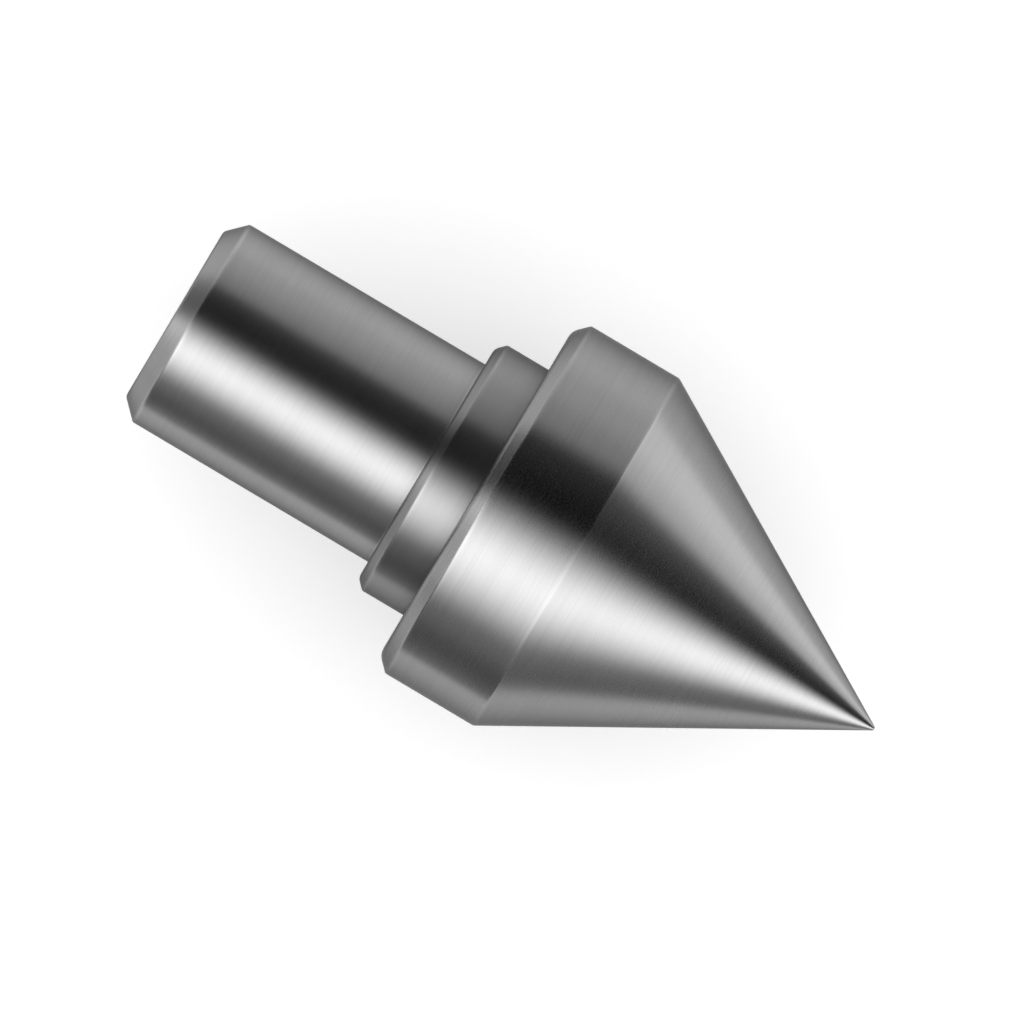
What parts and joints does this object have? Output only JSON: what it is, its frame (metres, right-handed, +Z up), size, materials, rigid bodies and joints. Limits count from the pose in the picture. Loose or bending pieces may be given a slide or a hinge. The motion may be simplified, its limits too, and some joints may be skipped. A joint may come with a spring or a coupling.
{
  "type": "live center",
  "caption": "Small live center: straight shank with a stop collar, and a turning head with a 60 degree point on enclosed ball bearings.",
  "frame": {"origin": "on the spindle axis at the rear face of the collar, where the shank begins", "axes": "+X along the spindle axis towards the point, -X towards the rear end of the shank, +Z up"},
  "size_m": [0.0425, 0.021, 0.021],
  "materials": {
    "ground_steel": "fine turned and ground, bright",
    "turned_steel": "fine turned, bright",
    "bearing_steel": "ground and honed",
    "ball_steel": "mirror polished",
    "shield_sheet": "pressed sheet, satin",
    "cage_steel": "pressed, oiled",
    "cage_brass": "machined brass",
    "spring_steel": "tempered, slightly blued",
    "fastener_steel": "zinc bright",
    "plug_steel": "blackened"
  },
  "bodies": {
    "shank": {"shank_housing": "ground_steel", "front_bearing_outer_ring": "bearing_steel", "front_bearing_front_shield": "shield_sheet", "front_bearing_rear_shield": "shield_sheet", "thrust_housing_washer": "bearing_steel", "preload_wave_spring": "spring_steel", "rear_bearing_outer_ring": "bearing_steel", "rear_bearing_front_shield": "shield_sheet", "rear_bearing_rear_shield": "shield_sheet", "end_plug": "plug_steel"},
    "spindle": {"point_spindle": "turned_steel", "front_bearing_inner_ring": "bearing_steel", "thrust_shaft_washer": "bearing_steel", "rear_bearing_inner_ring": "bearing_steel", "clamp_washer": "fastener_steel", "spindle_nut": "fastener_steel"},
    "front_ball_set": {"front_bearing_balls": "ball_steel", "front_bearing_cage": "cage_steel"},
    "thrust_ball_set": {"thrust_bearing_balls": "ball_steel", "thrust_bearing_cage": "cage_brass"},
    "rear_ball_set": {"rear_bearing_balls": "ball_steel", "rear_bearing_cage": "cage_steel"}
  },
  "joints": [
    {"name": "spindle_spin", "type": "hinge", "parent": "shank", "child": "spindle", "pos_m": [0.0045, 0, 0], "axis": [1, 0, 0], "continuous": true},
    {"name": "front_cage_orbit", "type": "hinge", "parent": "shank", "child": "front_ball_set", "pos_m": [0.0045, 0, 0], "axis": [1, 0, 0], "continuous": true},
    {"name": "thrust_cage_orbit", "type": "hinge", "parent": "shank", "child": "thrust_ball_set", "pos_m": [-0.0003, 0, 0], "axis": [1, 0, 0], "continuous": true},
    {"name": "rear_cage_orbit", "type": "hinge", "parent": "shank", "child": "rear_ball_set", "pos_m": [-0.0063, 0, 0], "axis": [1, 0, 0], "continuous": true}
  ],
  "couplings": [
    {"joint": "front_cage_orbit", "follows": "spindle_spin", "ratio": 0.375},
    {"joint": "thrust_cage_orbit", "follows": "spindle_spin", "ratio": 0.5},
    {"joint": "rear_cage_orbit", "follows": "spindle_spin", "ratio": 0.3809}
  ]
}
